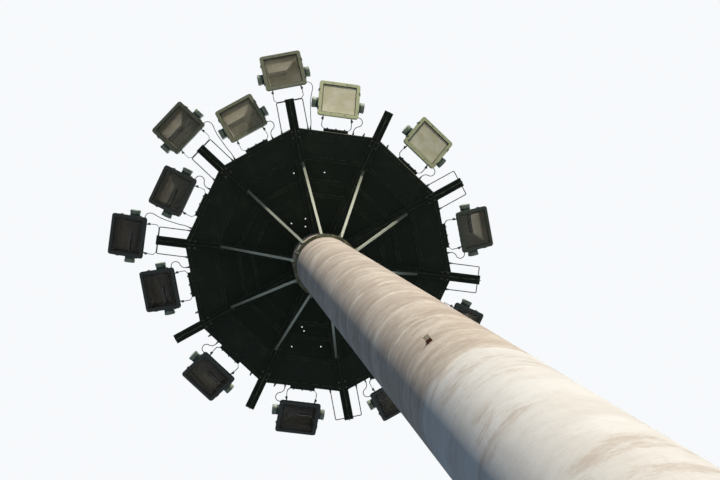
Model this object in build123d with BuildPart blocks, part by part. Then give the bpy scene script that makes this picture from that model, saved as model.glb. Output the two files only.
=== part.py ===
"""High mast floodlight tower: a tapered concrete mast with a ten-sided platform and tilting floodlights.

Millimetres, +Z up. The origin is the centre of the mast's flat foot. Spoke 1 points along +X, and
the spokes and sides are counted anticlockwise as seen from above.
"""
from build123d import *
import math
import os

os.makedirs("parts", exist_ok=True)

# Clearance between pieces that seat on each other, how far a fused piece reaches into the piece
# that carries it, and how far a cut runs past the faces that it opens
seat_gap = 0.2
weld_depth = 2.0
cut_margin = 1.0

# Mast
mast_height = 27000.0
mast_foot_radius = 500.0
mast_head_radius = 343.0
cap_rise = 70.0
cap_thickness = 6.0

# Service door near the foot, on the side that the photograph doesn't show
door_sill = 650.0
door_height = 900.0
door_width = 280.0
door_thickness = 6.0
door_azimuth = 150.0
lock_spacing = 600.0
lock_radius = 14.0
lock_stand = 6.0

# Small steel cleat on the mast
cleat_azimuth = -26.2
cleat_level = 14185.0
cleat_width = 40.0
cleat_reach = 54.0
cleat_height = 60.0
cleat_thickness = 10.0

# Platform
sides = 10
rim_below_head = 350.0
rim_corner_radius = 1700.0
rim_height = 120.0
rim_thickness = 8.0
ledge_width = 42.0
joint_gap = 1.0
ring_bar_width = 50.0
ring_bar_thickness = 8.0
ring_apothems = (808.0, 986.0, 1261.0)
plate_thickness = 4.0
plate_hole_clearance = 7.0

# Drain holes in the deck. For each side that has some: their distances from the centre along the
# side's middle line, and from that line
drain_radius = 8.0
drained_sides = (1, 6, 10)
drain_places = (
    ((1104.0, -75.0),),
    ((865.0, 107.0), (912.0, 75.0), (1126.0, 204.0), (1083.0, -162.0)),
    ((1114.0, 245.0), (575.0, -84.0), (542.0, 98.0), (455.0, 50.0)),
)

# Radial beams, tee section with the web below
beam_end_radius = 2060.0
beam_flange_width = 115.0
beam_flange_thickness = 10.0
beam_web_depth = 60.0
beam_web_thickness = 10.0
hub_thickness = 15.0
hub_depth = 98.0

# Lower collar, in two halves bolted together, with a lug for each strut
collar_below_rim = 1010.0
collar_height = 120.0
collar_thickness = 12.0
collar_flange_reach = 28.0
collar_flange_thickness = 8.0
clamp_azimuth = -54.0
clamp_gap = 12.0
clamp_ear_thickness = 10.0
clamp_ear_reach = 50.0
clamp_bolt_spacing = 70.0
clamp_bolt_reach = 28.0
lug_reach = 60.0
lug_rise = 45.0
lug_bolt_reach = 33.0
bolt_hole_radius = 7.0

# Struts of equal angle from the lower collar up to the beams
strut_head_radius = 1235.0
strut_leg = 30.0
strut_leg_thickness = 4.0
strut_end_distance = 18.0

# Guard rail on the deck
post_corner_radius = 1560.0
post_radius = 24.0
post_height = 1100.0
post_foot = 100.0
post_foot_thickness = 8.0
rail_radius = 19.0
mid_rail_height = 550.0
rail_gap = 0.3

# Yokes, the packers behind them on the rim and the upright plates that carry them on the spokes
yoke_half_width = 187.0
yoke_strip_thickness = 6.0
yoke_strip_width = 44.0
yoke_end_radius = 21.0
yoke_reach = 125.0
yoke_chamfer = 30.0
yoke_axis_height = 35.0
packer_depth = 33.2
packer_margin = 2.0
upright_thickness = 10.0
upright_inset = 4.0
pivot_clearance = 0.1

# Rod frames beside the spokes, and the studs beside the bare ones
rod_radius = 6.0
rod_half_spacing = 167.0
rod_bend_radius = 14.0
rod_start = 4.0
stud_end = 40.0
rod_eye_radius = 13.0
rod_eye_length = 22.0

# Floodlights
lamp_tilt = 32.0
lamp_width = 520.0
lamp_height = 508.0
lamp_corner_radius = 36.0
bezel_thickness = 28.0
bezel_border = 45.0
bezel_lip = 10.0
glass_thickness = 5.0
glass_lap = 10.0
glass_gap = 0.3
edge_from_pivot = 18.0
front_from_pivot = 55.0
body_half_width = 225.0
body_inset = 30.0
body_depth = 162.0
body_wall = 5.0
drum_radius = 63.0
drum_cap_radius = 67.0
drum_cap_length = 34.0
drum_chamfer = 5.0
drum_reach = 332.0
drum_from_edge = 232.0
drum_from_front = 100.0
rib_height = 12.0
rib_thickness = 5.0
rib_pitch = 72.0
rib_count = 6
ear_thickness = 10.0
ear_radius = 20.0
ear_gap = 0.5
pivot_bolt_radius = 8.0
bolt_head_radius = 14.0
bolt_head_height = 10.0

# Cables and their glands
cable_radius = 5.0
gland_radius = 11.0
lamp_gland_length = 15.0
lamp_gland_along = 52.0
lamp_gland_behind = 50.0
rim_gland_length = 20.0
rim_gland_height = 32.0
rim_gland_offset = 222.0
last_run = 70.0
spoke_gland_offset = 320.0

step = 360.0 / sides
half_step = step / 2
half_turn = math.radians(half_step)


def mast_radius(z):
    """Outside radius of the mast at a level."""
    return mast_foot_radius + (mast_head_radius - mast_foot_radius) * z / mast_height


rim_level = mast_height - rim_below_head
rim_apothem = rim_corner_radius * math.cos(half_turn)
rim_inner = rim_apothem - rim_thickness
ring_top = rim_level + ring_bar_thickness
deck_top = ring_top + plate_thickness
flange_bottom = rim_level - beam_flange_thickness
web_bottom = flange_bottom - beam_web_depth
hub_bottom = ring_top - hub_depth
hub_radius = mast_radius(hub_bottom) + seat_gap + hub_thickness
collar_level = rim_level - collar_below_rim
collar_bottom = collar_level - collar_height / 2
collar_top = collar_level + collar_height / 2
collar_radius = mast_radius(collar_bottom) + seat_gap + collar_thickness
pivot_level = rim_level + yoke_axis_height
yoke_back = yoke_reach + yoke_strip_thickness / 2
rim_pivot_radius = rim_apothem + packer_depth + yoke_back
upright_face = beam_end_radius - upright_inset - upright_thickness
spoke_pivot_radius = upright_face + yoke_reach - yoke_strip_thickness / 2


def save(part, name):
    part.label = name
    export_step(part, "parts/" + name + ".step")


def mast():
    with BuildPart() as shaft:
        with BuildSketch(Plane.XZ):
            with BuildLine():
                Polyline(
                    (0, 0),
                    (mast_foot_radius, 0),
                    (mast_head_radius, mast_height),
                    (0, mast_height),
                    close=True,
                )
            make_face()
        revolve(axis=Axis.Z)
    save(shaft.part, "mast_shaft")

    dome_edge = mast_head_radius + cap_thickness
    brim = mast_height + cap_thickness
    dome_radius = (dome_edge ** 2 + cap_rise ** 2) / (2 * cap_rise)
    half_arc = math.asin(dome_edge / dome_radius) / 2
    halfway = (
        dome_radius * math.sin(half_arc),
        brim + cap_rise - dome_radius * (1 - math.cos(half_arc)),
    )
    with BuildPart() as cap:
        with BuildSketch(Plane.XZ):
            with BuildLine():
                Polyline((0, brim + cap_rise), (0, mast_height), (dome_edge, mast_height), (dome_edge, brim))
                ThreePointArc((dome_edge, brim), halfway, (0, brim + cap_rise))
            make_face()
        revolve(axis=Axis.Z)
    save(cap.part, "mast_cap")


def service_door():
    low = mast_radius(door_sill) + seat_gap
    high = mast_radius(door_sill + door_height) + seat_gap
    span = math.degrees(door_width / low)
    with BuildPart() as door:
        with BuildSketch(Plane.XZ.rotated((0, 0, door_azimuth - span / 2))):
            with BuildLine():
                Polyline(
                    (low, door_sill),
                    (low + door_thickness, door_sill),
                    (high + door_thickness, door_sill + door_height),
                    (high, door_sill + door_height),
                    close=True,
                )
            make_face()
        revolve(axis=Axis.Z, revolution_arc=span)
        lock_plane = Plane(
            origin=(0, 0, door_sill + door_height / 2),
            x_dir=(0, 0, 1),
            z_dir=(math.cos(math.radians(door_azimuth)), math.sin(math.radians(door_azimuth)), 0),
        )
        with BuildSketch(lock_plane.offset(low)):
            with Locations((lock_spacing / 2, 0), (-lock_spacing / 2, 0)):
                Circle(lock_radius)
        extrude(amount=door_thickness + lock_stand)
    save(door.part, "service_door")


def mast_bracket():
    seat = mast_radius(cleat_level) + seat_gap
    with BuildPart() as cleat:
        with BuildSketch(Plane.XZ.rotated((0, 0, cleat_azimuth))):
            with BuildLine():
                Polyline(
                    (seat, cleat_level),
                    (seat + cleat_reach, cleat_level),
                    (seat + cleat_reach, cleat_level + cleat_thickness),
                    (seat + cleat_thickness, cleat_level + cleat_thickness),
                    (seat + cleat_thickness, cleat_level + cleat_height),
                    (seat, cleat_level + cleat_height),
                    close=True,
                )
            make_face()
        extrude(amount=cleat_width / 2, both=True)
    save(cleat.part, "mast_bracket")


def hub():
    with BuildPart() as collar:
        with BuildSketch(Plane.XZ):
            with BuildLine():
                Polyline(
                    (mast_radius(hub_bottom) + seat_gap, hub_bottom),
                    (hub_radius, hub_bottom),
                    (hub_radius, ring_top),
                    (mast_radius(ring_top) + seat_gap, ring_top),
                    close=True,
                )
            make_face()
        revolve(axis=Axis.Z)
    save(collar.part, "hub_collar")


def strut_collar():
    flange_top = collar_bottom + collar_flange_thickness
    lug_top = collar_level + lug_rise
    lug_root = collar_radius - weld_depth
    with BuildPart() as collar:
        with BuildSketch(Plane.XZ):
            with BuildLine():
                Polyline(
                    (mast_radius(collar_bottom) + seat_gap, collar_bottom),
                    (collar_radius + collar_flange_reach, collar_bottom),
                    (collar_radius + collar_flange_reach, flange_top),
                    (collar_radius, flange_top),
                    (collar_radius, collar_top),
                    (mast_radius(collar_top) + seat_gap, collar_top),
                    close=True,
                )
            make_face()
        revolve(axis=Axis.Z)
        for azimuth in (clamp_azimuth, clamp_azimuth + 180):
            with BuildSketch(Plane.XZ.rotated((0, 0, azimuth))):
                with Locations((collar_radius + (clamp_ear_reach - weld_depth) / 2, collar_level)):
                    Rectangle(clamp_ear_reach + weld_depth, collar_height)
                with Locations(
                    (collar_radius + clamp_bolt_reach, collar_level - clamp_bolt_spacing / 2),
                    (collar_radius + clamp_bolt_reach, collar_level + clamp_bolt_spacing / 2),
                ):
                    Circle(bolt_hole_radius, mode=Mode.SUBTRACT)
            extrude(amount=clamp_gap / 2 + clamp_ear_thickness, both=True)
        for k in range(sides):
            with BuildSketch(Plane.XZ.rotated((0, 0, k * step))):
                with Locations(((lug_root + collar_radius + lug_reach) / 2, (collar_bottom + lug_top) / 2)):
                    Rectangle(lug_reach + weld_depth, lug_top - collar_bottom)
                with Locations((collar_radius + lug_bolt_reach, collar_level)):
                    Circle(bolt_hole_radius, mode=Mode.SUBTRACT)
            extrude(amount=beam_web_thickness / 2, both=True)
        for azimuth in (clamp_azimuth, clamp_azimuth + 180):
            with BuildSketch(Plane.XZ.rotated((0, 0, azimuth))):
                with Locations((collar_radius, collar_level)):
                    Rectangle(2 * (clamp_ear_reach + cut_margin), collar_height + 2 * cut_margin)
            extrude(amount=clamp_gap / 2, both=True, mode=Mode.SUBTRACT)
    save(collar.part, "strut_collar")


def beams():
    root = mast_radius(hub_bottom)
    with BuildPart() as blank:
        with BuildSketch(Plane.YZ.offset(root)):
            with Locations((0, rim_level - beam_flange_thickness / 2)):
                Rectangle(beam_flange_width, beam_flange_thickness)
            with Locations((0, flange_bottom - beam_web_depth / 2)):
                Rectangle(beam_web_thickness, beam_web_depth)
        extrude(amount=beam_end_radius - root)
        with BuildSketch(Plane.XZ):
            with Locations((strut_head_radius, flange_bottom - beam_web_depth / 2)):
                Circle(bolt_hole_radius)
        extrude(amount=beam_web_thickness, both=True, mode=Mode.SUBTRACT)
        with BuildSketch(Plane.XY.offset(web_bottom - cut_margin)):
            Circle(hub_radius + seat_gap)
        extrude(amount=rim_level - web_bottom + 2 * cut_margin, mode=Mode.SUBTRACT)
    with BuildPart() as deck_beams:
        with PolarLocations(0, sides):
            add(blank.part)
    save(deck_beams.part, "deck_beams")


def struts():
    """Each strut lies flat against one side of its lug and of its beam's web."""
    foot_radius = collar_radius + lug_bolt_reach
    run = strut_head_radius - foot_radius
    rise = flange_bottom - beam_web_depth / 2 - collar_level
    length = math.hypot(run, rise)
    flat = Plane(
        origin=(foot_radius, beam_web_thickness / 2, collar_level),
        x_dir=(run / length, 0, rise / length),
        z_dir=(0, 1, 0),
    )
    whole = length + 2 * strut_end_distance
    with BuildPart() as blank:
        with BuildSketch(flat):
            with Locations((length / 2, 0)):
                Rectangle(whole, strut_leg)
            with Locations((0, 0), (length, 0)):
                Circle(bolt_hole_radius, mode=Mode.SUBTRACT)
        extrude(amount=strut_leg_thickness)
        with BuildSketch(flat):
            with Locations((length / 2, (strut_leg - strut_leg_thickness) / 2)):
                Rectangle(whole, strut_leg_thickness)
        extrude(amount=strut_leg)
    with BuildPart() as all_struts:
        with PolarLocations(0, sides):
            add(blank.part)
    save(all_struts.part, "struts")


def band(inner, outer):
    """The corners of one side's share of a ten-sided band, drawn in from its corners by a joint gap."""
    draw_in = joint_gap / math.cos(half_turn)
    reach_in = inner * math.tan(half_turn) - draw_in
    reach_out = outer * math.tan(half_turn) - draw_in
    return (inner, -reach_in), (outer, -reach_out), (outer, reach_out), (inner, reach_in)


def rim():
    with BuildPart() as blank:
        with BuildSketch(Plane.XY.offset(rim_level)):
            Polygon(*band(rim_inner, rim_apothem), align=None)
        extrude(amount=rim_height)
        with BuildSketch(Plane.XY.offset(rim_level)):
            Polygon(*band(rim_inner - ledge_width, rim_apothem), align=None)
        extrude(amount=ring_bar_thickness)
    with BuildPart() as rim_sides:
        with PolarLocations(0, sides, start_angle=half_step):
            add(blank.part)
    save(rim_sides.part, "rim_sides")


def ring_bars():
    half_width = ring_bar_width / 2
    with BuildPart() as blank:
        for apothem in ring_apothems:
            with BuildSketch(Plane.XY.offset(rim_level)):
                Polygon(*band(apothem - half_width, apothem + half_width), align=None)
            extrude(amount=ring_bar_thickness)
    with BuildPart() as bars:
        with PolarLocations(0, sides, start_angle=half_step):
            add(blank.part)
    save(bars.part, "ring_bars")


def deck():
    holes = []
    for side, places in zip(drained_sides, drain_places):
        turned = Location((0, 0, ring_top), (0, 0, side * step - half_step))
        for along, across in places:
            holes.append(turned * Location((along, across, 0)))
    edges = (
        mast_radius(ring_top) + plate_hole_clearance,
        ring_apothems[0],
        ring_apothems[2],
        rim_inner - joint_gap,
    )
    names = ("deck_inner", "deck_middle", "deck_outer")
    for name, low, high in zip(names, edges[:-1], edges[1:]):
        with BuildPart() as blank:
            with BuildSketch(Plane.XY.offset(ring_top)):
                Polygon(*band(low + joint_gap / 2, high - joint_gap / 2), align=None)
            extrude(amount=plate_thickness)
        with BuildPart() as plates:
            with PolarLocations(0, sides, start_angle=half_step):
                add(blank.part)
            with Locations(*holes):
                Cylinder(drain_radius, 4 * plate_thickness, mode=Mode.SUBTRACT)
        save(plates.part, name)


def guard_rail():
    post_top = deck_top + post_height
    with BuildPart() as blank:
        with BuildSketch(Plane.XY.offset(deck_top)):
            with Locations((post_corner_radius, 0)):
                Rectangle(post_foot, post_foot)
        extrude(amount=post_foot_thickness)
        with BuildSketch(Plane.XY.offset(deck_top)):
            with Locations((post_corner_radius, 0)):
                Circle(post_radius)
        extrude(amount=post_height)
    with BuildPart() as posts:
        with PolarLocations(0, sides):
            add(blank.part)
    save(posts.part, "guard_posts")

    rail_apothem = post_corner_radius * math.cos(half_turn)
    half_length = post_corner_radius * math.sin(half_turn) - post_radius - rail_gap
    with BuildPart() as rail_blank:
        for level in (deck_top + mid_rail_height, post_top - rail_radius):
            with BuildSketch(Plane.XZ):
                with Locations((rail_apothem, level)):
                    Circle(rail_radius)
            extrude(amount=half_length, both=True)
    with BuildPart() as rails:
        with PolarLocations(0, sides, start_angle=half_step):
            add(rail_blank.part)
    save(rails.part, "guard_rails")


def yoke_blank():
    """A flat-strip yoke with its pivot at the origin and its back towards minus X."""
    shoulder = yoke_chamfer - yoke_reach
    with BuildPart() as blank:
        with BuildSketch(Plane.XY):
            with BuildLine() as strip:
                Polyline(
                    (yoke_strip_width / 2, yoke_half_width),
                    (shoulder, yoke_half_width),
                    (-yoke_reach, yoke_half_width - yoke_chamfer),
                    (-yoke_reach, yoke_chamfer - yoke_half_width),
                    (shoulder, -yoke_half_width),
                    (yoke_strip_width / 2, -yoke_half_width),
                )
            trace(lines=strip.line, line_width=yoke_strip_thickness)
        extrude(amount=yoke_strip_width / 2, both=True)
        tips = blank.edges().filter_by(Axis.Y).group_by(Axis.X)[-1]
        fillet(tips, radius=min(yoke_end_radius, yoke_strip_width / 2 - cut_margin))
        with BuildSketch(Plane.XZ):
            Circle(pivot_bolt_radius + pivot_clearance)
        extrude(amount=yoke_half_width + yoke_strip_thickness, both=True, mode=Mode.SUBTRACT)
    return blank.part


# Spokes with a floodlight, with a rod frame beside them and with only the studs for one, counted
# from 0
lamp_spokes = (0, 8, 9)
framed_spokes = (0, 2, 3, 4, 5, 8, 9)
bare_spokes = (1, 6, 7)
# Each floodlight: its azimuth and the radius of its pivot
rim_lamps = [(half_step + k * step, rim_pivot_radius) for k in range(sides)]
spoke_lamps = [(spoke * step, spoke_pivot_radius) for spoke in lamp_spokes]
lamps = rim_lamps + spoke_lamps


def station(azimuth, radius):
    """The place of a pivot, with X pointing outwards."""
    angle = math.radians(azimuth)
    return Location((radius * math.cos(angle), radius * math.sin(angle), pivot_level), (0, 0, azimuth))


def yokes():
    blank = yoke_blank()
    with BuildPart() as all_yokes:
        for azimuth, radius in lamps:
            with Locations(station(azimuth, radius)):
                add(blank)
    save(all_yokes.part, "yokes")

    packer_length = 2 * (yoke_half_width - yoke_chamfer - packer_margin)
    with BuildPart() as packer:
        with BuildSketch(Plane.XY.offset(pivot_level - yoke_strip_width / 2)):
            with Locations((rim_apothem + packer_depth / 2, 0)):
                Rectangle(packer_depth, packer_length)
        extrude(amount=yoke_strip_width)
    with BuildPart() as upright:
        with BuildSketch(Plane.XY.offset(rim_level)):
            with Locations((upright_face + upright_thickness / 2, 0)):
                Rectangle(upright_thickness, beam_flange_width)
        extrude(amount=yoke_axis_height + yoke_strip_width / 2)
    with BuildPart() as packers:
        for azimuth, radius in lamps:
            with Locations(Location((0, 0, 0), (0, 0, azimuth))):
                add(packer.part if radius == rim_pivot_radius else upright.part)
    save(packers.part, "yoke_packers")


def rim_face(across):
    """Distance from the centre to the rim's outside, along a line at a distance from a spoke's axis."""
    return (rim_apothem - across * math.sin(half_turn)) / math.cos(half_turn)


def rod_eyes():
    """The two eyes beside a spoke, cut to seat on the rim's two faces."""
    level = rim_level + rod_radius
    face = rim_face(rod_half_spacing + rod_eye_radius)
    corner = seat_gap / math.cos(half_turn)
    far = 2 * rod_half_spacing
    with BuildPart() as eyes:
        with BuildSketch(Plane.YZ.offset(face)):
            with Locations((rod_half_spacing, level), (-rod_half_spacing, level)):
                Circle(rod_eye_radius)
        extrude(amount=rod_eye_length)
        with BuildSketch(Plane.XY.offset(level - rod_eye_radius - cut_margin)):
            Polygon(
                (0, -far),
                (rim_face(far) + corner, -far),
                (rim_face(0) + corner, 0),
                (rim_face(far) + corner, far),
                (0, far),
                align=None,
            )
        extrude(amount=2 * (rod_eye_radius + cut_margin), mode=Mode.SUBTRACT)
    return eyes.part


def rod_frames():
    level = rim_level + rod_radius
    start = rim_face(rod_half_spacing) + rod_start
    end = start - rod_start + stud_end
    bar_radius = upright_face - yoke_strip_thickness - rod_radius
    eyes = rod_eyes()
    with BuildPart() as frame:
        with BuildLine(Plane.XY.offset(level)) as route:
            FilletPolyline(
                (start, -rod_half_spacing),
                (bar_radius, -rod_half_spacing),
                (bar_radius, rod_half_spacing),
                (start, rod_half_spacing),
                radius=rod_bend_radius,
            )
        with BuildSketch(Plane(origin=route.line @ 0, z_dir=route.line % 0)):
            Circle(rod_radius)
        sweep(path=route.line)
        add(eyes)
    with BuildPart() as studs:
        with BuildSketch(Plane.YZ.offset(start)):
            with Locations((rod_half_spacing, level), (-rod_half_spacing, level)):
                Circle(rod_radius)
        extrude(amount=end - start)
        add(eyes)
    with BuildPart() as frames:
        for spoke in framed_spokes:
            with Locations(Location((0, 0, 0), (0, 0, spoke * step))):
                add(frame.part)
        for spoke in bare_spokes:
            with Locations(Location((0, 0, 0), (0, 0, spoke * step))):
                add(studs.part)
    save(frames.part, "rod_frames")


# The floodlight is drawn in its own frame, with the pivot at the origin, X from its inner edge to
# its outer edge, Y across it and Z from its glass to its back.
front = -front_from_pivot
bezel_back = front + bezel_thickness
middle = edge_from_pivot + lamp_height / 2
body_low = edge_from_pivot + body_inset
body_high = edge_from_pivot + lamp_height - body_inset


def trough(grow, across):
    """The housing's section, larger or smaller by an offset, at a distance across the lamp."""
    with BuildSketch(Plane.XZ.offset(-across)) as section:
        with BuildLine():
            ThreePointArc(
                (body_low - grow, bezel_back),
                (middle, bezel_back + body_depth + grow),
                (body_high + grow, bezel_back),
            )
            Line((body_high + grow, bezel_back), (body_low - grow, bezel_back))
        make_face()
    return section.sketch


def housing_shell():
    glass_x = lamp_height - 2 * (bezel_border - glass_lap - glass_gap)
    glass_y = lamp_width - 2 * (bezel_border - glass_lap - glass_gap)
    inside = body_half_width - body_wall
    gland = Plane(
        origin=(edge_from_pivot + lamp_gland_along, inside, front + lamp_gland_behind),
        x_dir=(1, 0, 0),
        z_dir=(0, 1, 0),
    )
    with BuildPart() as shell:
        extrude(trough(0, 0), amount=body_half_width, both=True)
        for k in range(rib_count):
            place = (k - (rib_count - 1) / 2) * rib_pitch
            extrude(trough(rib_height, place), amount=rib_thickness / 2, both=True)
        with BuildSketch(gland):
            Circle(gland_radius)
        extrude(amount=body_wall + lamp_gland_length)
        extrude(trough(-body_wall, 0), amount=inside, both=True, mode=Mode.SUBTRACT)
        with BuildSketch(Plane.XY.offset(front)):
            with Locations((middle, 0)):
                RectangleRounded(lamp_height, lamp_width, lamp_corner_radius)
        extrude(amount=bezel_thickness)
        with BuildSketch(Plane.XY.offset(front)):
            with Locations((middle, 0)):
                Rectangle(lamp_height - 2 * bezel_border, lamp_width - 2 * bezel_border)
        extrude(amount=bezel_thickness, mode=Mode.SUBTRACT)
        with BuildSketch(Plane.XY.offset(front + bezel_lip)):
            with Locations((middle, 0)):
                Rectangle(glass_x, glass_y)
        extrude(amount=bezel_thickness - bezel_lip, mode=Mode.SUBTRACT)
    return shell.part


def glass_pane():
    with BuildPart() as pane:
        with BuildSketch(Plane.XY.offset(front + bezel_lip)):
            with Locations((middle, 0)):
                Rectangle(
                    lamp_height - 2 * (bezel_border - glass_lap), lamp_width - 2 * (bezel_border - glass_lap)
                )
        extrude(amount=glass_thickness)
    return pane.part


def side_drums():
    """The drums on the housing's two sides, each with a wider cap at its end."""
    seat = body_half_width + seat_gap
    centre = (edge_from_pivot + drum_from_edge, front + drum_from_front)
    with BuildPart() as drums:
        with BuildSketch(Plane.XZ.offset(-seat)):
            with Locations(centre):
                Circle(drum_radius)
        extrude(amount=seat - drum_reach)
        with BuildSketch(Plane.XZ.offset(drum_cap_length - drum_reach)):
            with Locations(centre):
                Circle(drum_cap_radius)
        extrude(amount=-drum_cap_length)
        chamfer(drums.faces().sort_by(Axis.Y)[-1].edges(), length=drum_chamfer)
        mirror(about=Plane.XZ)
    return drums.part


def pivot_ears():
    """The two ears that seat on the housing's back, each with its pivot bolt through the yoke."""
    ear_face = yoke_half_width - yoke_strip_thickness / 2 - ear_gap
    bolt_end = yoke_half_width + yoke_strip_thickness / 2 + ear_gap
    with BuildPart() as ears:
        with BuildSketch(Plane.XZ.offset(-ear_face)):
            Circle(ear_radius)
            with Locations((middle / 2, 0)):
                Rectangle(middle, 2 * ear_radius)
        extrude(amount=ear_thickness)
        with BuildSketch(Plane.XZ.offset(weld_depth - ear_face)):
            Circle(pivot_bolt_radius)
        extrude(amount=ear_face - bolt_end - 2 * weld_depth)
        with BuildSketch(Plane.XZ.offset(-bolt_end)):
            RegularPolygon(bolt_head_radius, 6)
        extrude(amount=-bolt_head_height)
        mirror(about=Plane.XZ)
        extrude(trough(seat_gap, 0), amount=drum_reach, both=True, mode=Mode.SUBTRACT)
    return ears.part


def floodlights():
    shell = housing_shell()
    drums = side_drums()
    ears = pivot_ears()
    glass = glass_pane()
    for number, (azimuth, radius) in enumerate(lamps, start=1):
        place = station(azimuth, radius) * Location((0, 0, 0), (0, -lamp_tilt, 0))
        with BuildPart() as placed_housing:
            with Locations(place):
                add(shell)
                add(drums)
                add(ears)
        save(placed_housing.part, f"housing_{number:02d}")
        with BuildPart() as placed_glass:
            with Locations(place):
                add(glass)
        save(placed_glass.part, f"glass_{number:02d}")


# Each cable's route has the pivot as its origin, X outwards, Y round the platform and Z up.
def lamp_gland_mouth():
    tilt = math.radians(lamp_tilt)
    along = edge_from_pivot + lamp_gland_along
    behind = front + lamp_gland_behind
    return (
        along * math.cos(tilt) - behind * math.sin(tilt),
        body_half_width + lamp_gland_length,
        along * math.sin(tilt) + behind * math.cos(tilt),
    )


def rim_route():
    x, y, z = lamp_gland_mouth()
    level = rim_gland_height - yoke_axis_height
    return [
        (x, y, z),
        (x, 282, z),
        (36, 316, 27),
        (-8, 325, 17),
        (-47, 300, 8),
        (-58, 256, 2),
        (-97, rim_gland_offset, level),
        (rim_apothem + rim_gland_length - rim_pivot_radius, rim_gland_offset, level),
    ]


def spoke_route():
    x, y, z = lamp_gland_mouth()
    outward = (math.cos(half_turn), math.sin(half_turn))
    radial = rim_apothem + rim_gland_length
    end_x = radial * outward[0] + spoke_gland_offset * outward[1] - spoke_pivot_radius
    end_y = radial * outward[1] - spoke_gland_offset * outward[0]
    level = rim_gland_height - yoke_axis_height
    return [
        (x, y, z),
        (x, 282, z),
        (32, 319, 24.8),
        (-28, 324, 10),
        (-100, 288, 0),
        (-188, 262, -6),
        (-284, 244, -10),
        (-374, 226, -8),
        (end_x + last_run * outward[0], end_y + last_run * outward[1], level),
        (end_x, end_y, level),
    ]


def tube_length(points, radii):
    total = 0.0
    for first, second in zip(points[:-1], points[1:]):
        total += math.dist(first, second)
    for before, here, after, radius in zip(points[:-2], points[1:-1], points[2:], radii):
        turn = math.radians((Vector(*here) - Vector(*before)).get_angle(Vector(*after) - Vector(*here)))
        total -= 2 * radius * math.tan(turn / 2) - radius * turn
    return total


def cable_blank(points, name):
    radii = []
    for before, here, after in zip(points[:-2], points[1:-1], points[2:]):
        first = Vector(*here) - Vector(*before)
        second = Vector(*after) - Vector(*here)
        turn = math.radians(first.get_angle(second))
        radii.append(0.45 * min(first.length, second.length) / math.tan(turn / 2))
    with BuildPart() as cable:
        with BuildLine() as route:
            FilletPolyline(*points, radius=radii)
        with BuildSketch(Plane(origin=route.line @ 0, z_dir=route.line % 0)):
            Circle(cable_radius)
        sweep(path=route.line)
    length = tube_length(points, radii)
    section = math.pi * cable_radius ** 2
    print(name, "radii", [round(r) for r in radii], "length", round(length, 1))
    print(name, "volume over section times length", round(cable.part.volume / (section * length), 5))
    return cable.part


def cables():
    rim_cable = cable_blank(rim_route(), "rim cable")
    spoke_cable = cable_blank(spoke_route(), "spoke cable")
    for number, (azimuth, radius) in enumerate(lamps, start=1):
        blank = rim_cable if radius == rim_pivot_radius else spoke_cable
        with BuildPart() as placed:
            with Locations(station(azimuth, radius)):
                add(blank)
        save(placed.part, f"cable_{number:02d}")

    # A gland on the rim for each cable: beside each yoke, and before the corner for a spoke's cable
    with BuildPart() as glands:
        for azimuth, radius in lamps:
            on_rim = radius == rim_pivot_radius
            angle = math.radians(azimuth if on_rim else azimuth + half_step)
            across = rim_gland_offset if on_rim else -spoke_gland_offset
            gland = Plane(
                origin=(
                    rim_apothem * math.cos(angle) - across * math.sin(angle),
                    rim_apothem * math.sin(angle) + across * math.cos(angle),
                    rim_level + rim_gland_height,
                ),
                x_dir=(0, 0, 1),
                z_dir=(math.cos(angle), math.sin(angle), 0),
            )
            with BuildSketch(gland):
                Circle(gland_radius)
            extrude(amount=rim_gland_length)
    save(glands.part, "rim_glands")


mast()
service_door()
mast_bracket()
hub()
strut_collar()
beams()
struts()
rim()
ring_bars()
deck()
guard_rail()
yokes()
rod_frames()
floodlights()
cables()
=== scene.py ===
import bpy
import bmesh
import math
from mathutils import Matrix, Vector


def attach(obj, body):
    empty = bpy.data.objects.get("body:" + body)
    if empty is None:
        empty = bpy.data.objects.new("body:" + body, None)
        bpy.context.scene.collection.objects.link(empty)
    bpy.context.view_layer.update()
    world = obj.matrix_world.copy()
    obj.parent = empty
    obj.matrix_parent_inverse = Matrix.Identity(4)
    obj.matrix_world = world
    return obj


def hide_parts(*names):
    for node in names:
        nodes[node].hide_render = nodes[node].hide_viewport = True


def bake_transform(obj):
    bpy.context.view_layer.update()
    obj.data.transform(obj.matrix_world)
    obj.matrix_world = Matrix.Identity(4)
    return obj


# High mast floodlight tower, in metres, +Z up, spoke 1 along +X, azimuths anticlockwise from above.
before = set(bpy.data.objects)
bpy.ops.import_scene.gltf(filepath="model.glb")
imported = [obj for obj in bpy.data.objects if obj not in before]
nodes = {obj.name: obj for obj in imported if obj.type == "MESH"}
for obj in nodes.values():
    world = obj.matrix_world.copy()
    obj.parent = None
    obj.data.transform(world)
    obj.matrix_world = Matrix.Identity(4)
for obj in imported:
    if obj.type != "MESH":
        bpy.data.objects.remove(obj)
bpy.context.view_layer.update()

# Sizes that the pieces share
SIDES = 10
STEP = math.radians(360 / SIDES)
HALF = STEP / 2

SHAFT_HEIGHT = 27.0
FOOT_RADIUS = 0.5
HEAD_RADIUS = 0.343
BRACKET_LEVEL = 14.185
BRACKET_AZIMUTH = math.radians(-26.2)
DOOR_AZIMUTH = math.radians(150)
DOOR_HALF_WIDTH = 0.14
DOOR_SILL = 0.65
LOCK_LEVELS = (0.80, 1.40)

RIM_LEVEL = 26.65
RIM_CORNER = 1.7
RIM_APOTHEM = RIM_CORNER * math.cos(HALF)
DECK_TOP = RIM_LEVEL + 0.012
COLLAR_LEVEL = 25.64
COLLAR_RADIUS = 0.36346
STRUT_FOOT = COLLAR_RADIUS + 0.033
STRUT_HEAD = 1.235
POST_CORNER = 1.56
ROD_HALF_SPACING = 0.167

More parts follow.
